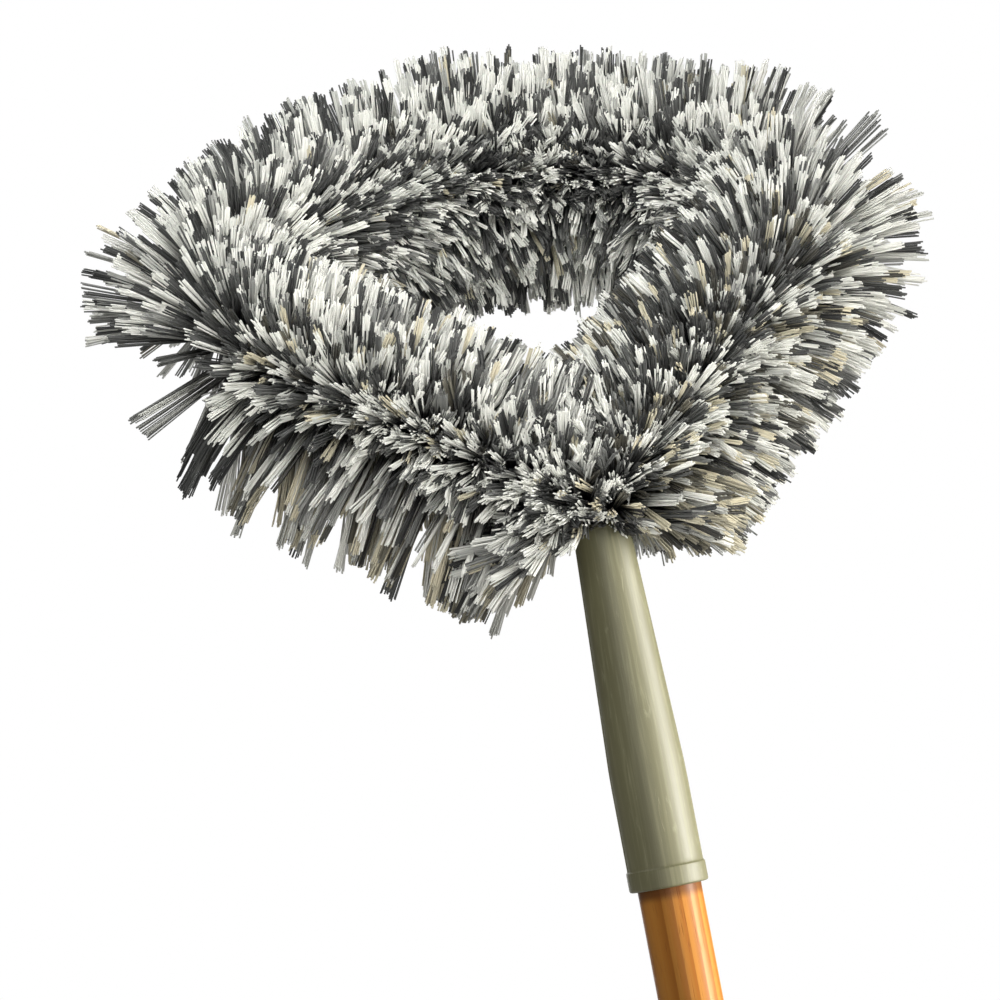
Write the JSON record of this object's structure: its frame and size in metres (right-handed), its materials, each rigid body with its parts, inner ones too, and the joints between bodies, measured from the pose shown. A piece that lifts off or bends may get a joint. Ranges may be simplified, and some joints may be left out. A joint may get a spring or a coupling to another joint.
{
  "type": "dusting brush",
  "caption": "Ring-shaped dusting brush: grey and white filaments on twisted wire bent into a leaning loop, held by a tapered plastic socket that pushes onto a lacquered wooden pole.",
  "frame": {"origin": "middle of the flat end of the pole's butt, where the hand holds the pole", "axes": "+Z along the pole towards the head, +X along the ring's width; the ring leans back towards +Y"},
  "size_m": [0.3087, 0.2067, 1.1547],
  "materials": {
    "pole_wood": "clear lacquer",
    "socket_plastic": "satin",
    "core_steel": "drawn wire",
    "filament": "grey and white mixed filament"
  },
  "bodies": {
    "pole": {"pole": "pole_wood"},
    "head": {"socket": "socket_plastic", "stem_sleeve": "core_steel", "core_wire_a": "core_steel", "core_wire_b": "core_steel", "bristles_right_arm": "filament", "bristles_right_crown": "filament", "bristles_left_crown": "filament", "bristles_left_arm": "filament"}
  },
  "joints": [
    {"name": "head_pull_off", "type": "slide", "parent": "pole", "child": "head", "axis": [0, 0, 1], "range_m": [0, 0.085]}
  ]
}
